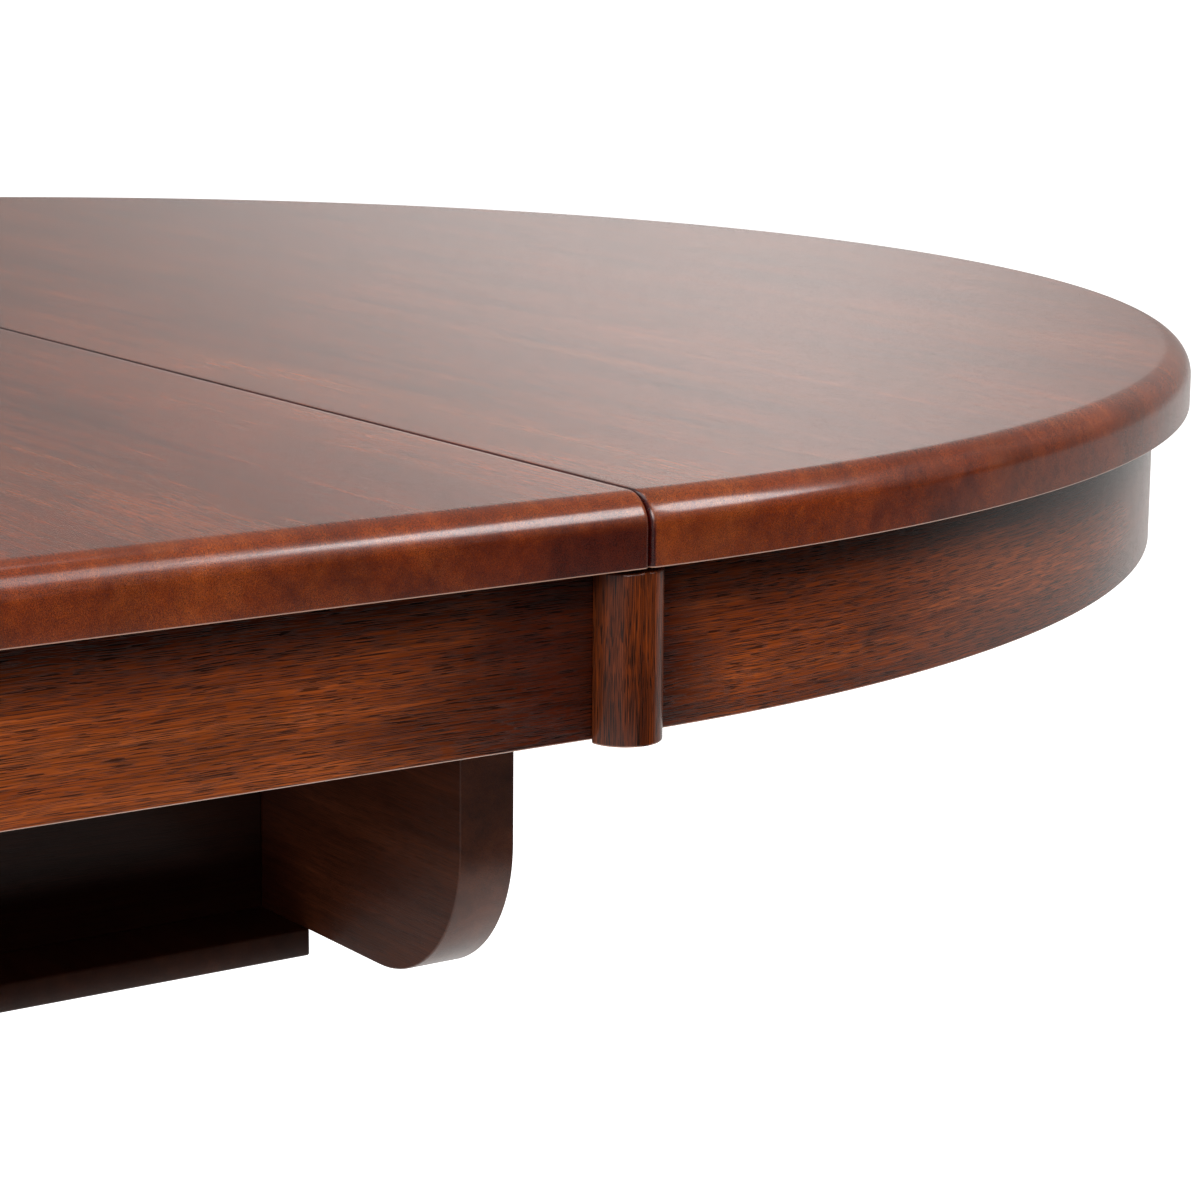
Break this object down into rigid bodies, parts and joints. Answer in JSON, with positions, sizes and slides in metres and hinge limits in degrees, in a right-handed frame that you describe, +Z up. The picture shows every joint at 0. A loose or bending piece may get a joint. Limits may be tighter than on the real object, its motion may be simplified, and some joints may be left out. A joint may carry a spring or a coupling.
{
  "type": "round pedestal table",
  "caption": "Round wooden extension table on a turned pedestal, opened with a straight leaf between two half-round tops, with aprons, seam posts, slides and a rack and pinion.",
  "frame": {"origin": "on the floor under the middle of the pedestal, which is the bottom centre of the box with the leaf in place", "axes": "+X along the extended top toward the right half, +Y toward the rear, +Z up"},
  "size_m": [1.6768, 1.22, 0.762],
  "materials": {
    "mahogany_top": "satin lacquered dark mahogany",
    "mahogany_apron": "satin lacquered mahogany with dark open pores",
    "frame_wood": "dark stained wood, dull",
    "rail_wood": "plain unstained hardwood, waxed",
    "steel": "plain rolled steel",
    "brass": "plain brass",
    "dark_plastic": "matte dark plastic"
  },
  "bodies": {
    "pedestal": {"leaf_panel": "mahogany_top", "leaf_apron_front": "mahogany_apron", "leaf_apron_rear": "mahogany_apron", "seam_post_left_front": "mahogany_apron", "seam_post_left_rear": "mahogany_apron", "apron_blocks_leaf": "frame_wood", "alignment_pins_leaf": "brass", "fixed_rail_front": "rail_wood", "fixed_rail_rear": "rail_wood", "pinion_axle": "steel", "gear_bridge": "rail_wood", "rack_guides": "brass", "lock_plates": "steel", "cross_board_right": "frame_wood", "cross_board_left": "frame_wood", "side_board_front": "frame_wood", "side_board_rear": "frame_wood", "bottom_panel": "frame_wood", "corner_cleats": "rail_wood", "column_plate": "frame_wood", "column": "mahogany_top", "foot_right_front": "mahogany_top", "foot_right_rear": "mahogany_top", "foot_left_front": "mahogany_top", "foot_left_rear": "mahogany_top", "foot_dowels": "rail_wood", "floor_glides": "dark_plastic", "column_bolts": "steel", "column_nuts": "steel", "panel_screws": "brass", "bridge_screws": "brass", "fixed_rail_screws": "brass"},
    "right_half": {"half_top_right": "mahogany_top", "bent_apron_right": "mahogany_apron", "seam_post_right_front": "mahogany_apron", "seam_post_right_rear": "mahogany_apron", "apron_blocks_right": "frame_wood", "right_rail_front": "rail_wood", "right_rail_rear": "rail_wood", "rail_spreader_right": "rail_wood", "rack_right": "steel", "lock_keepers_right": "steel", "right_rail_screws": "brass"},
    "left_half": {"half_top_left": "mahogany_top", "bent_apron_left": "mahogany_apron", "apron_blocks_left": "frame_wood", "alignment_pins_left": "brass", "left_rail_front": "rail_wood", "left_rail_rear": "rail_wood", "rail_spreader_left": "rail_wood", "rack_left": "steel", "lock_keepers_left": "steel", "left_rail_screws": "brass"},
    "pinion_gear": {"pinion": "steel"},
    "lock_right_front": {"lock_lever_right_front": "steel"},
    "lock_right_rear": {"lock_lever_right_rear": "steel"},
    "lock_left_front": {"lock_lever_left_front": "steel"},
    "lock_left_rear": {"lock_lever_left_rear": "steel"}
  },
  "joints": [
    {"name": "right_half_slide", "type": "slide", "parent": "pedestal", "child": "right_half", "axis": [1, 0, 0], "range_m": [0, 0.076]},
    {"name": "left_half_slide", "type": "slide", "parent": "pedestal", "child": "left_half", "axis": [-1, 0, 0], "range_m": [0, 0.076]},
    {"name": "pinion_turn", "type": "hinge", "parent": "pedestal", "child": "pinion_gear", "pos_m": [0, 0, 0.7138], "axis": [0, 0, -1], "range_deg": [0, 181.5]},
    {"name": "lock_right_front_turn", "type": "hinge", "parent": "pedestal", "child": "lock_right_front", "pos_m": [0.1965, -0.38, 0.7278], "axis": [0, 0, 1], "range_deg": [0, 65]},
    {"name": "lock_right_rear_turn", "type": "hinge", "parent": "pedestal", "child": "lock_right_rear", "pos_m": [0.1965, 0.38, 0.7278], "axis": [0, 0, -1], "range_deg": [0, 65]},
    {"name": "lock_left_front_turn", "type": "hinge", "parent": "pedestal", "child": "lock_left_front", "pos_m": [-0.1965, -0.38, 0.7278], "axis": [0, 0, -1], "range_deg": [0, 65]},
    {"name": "lock_left_rear_turn", "type": "hinge", "parent": "pedestal", "child": "lock_left_rear", "pos_m": [-0.1965, 0.38, 0.7278], "axis": [0, 0, 1], "range_deg": [0, 65]}
  ],
  "couplings": [
    {"joint": "left_half_slide", "follows": "right_half_slide", "ratio": 1},
    {"joint": "pinion_turn", "follows": "right_half_slide", "rad_per_m": 41.667}
  ]
}
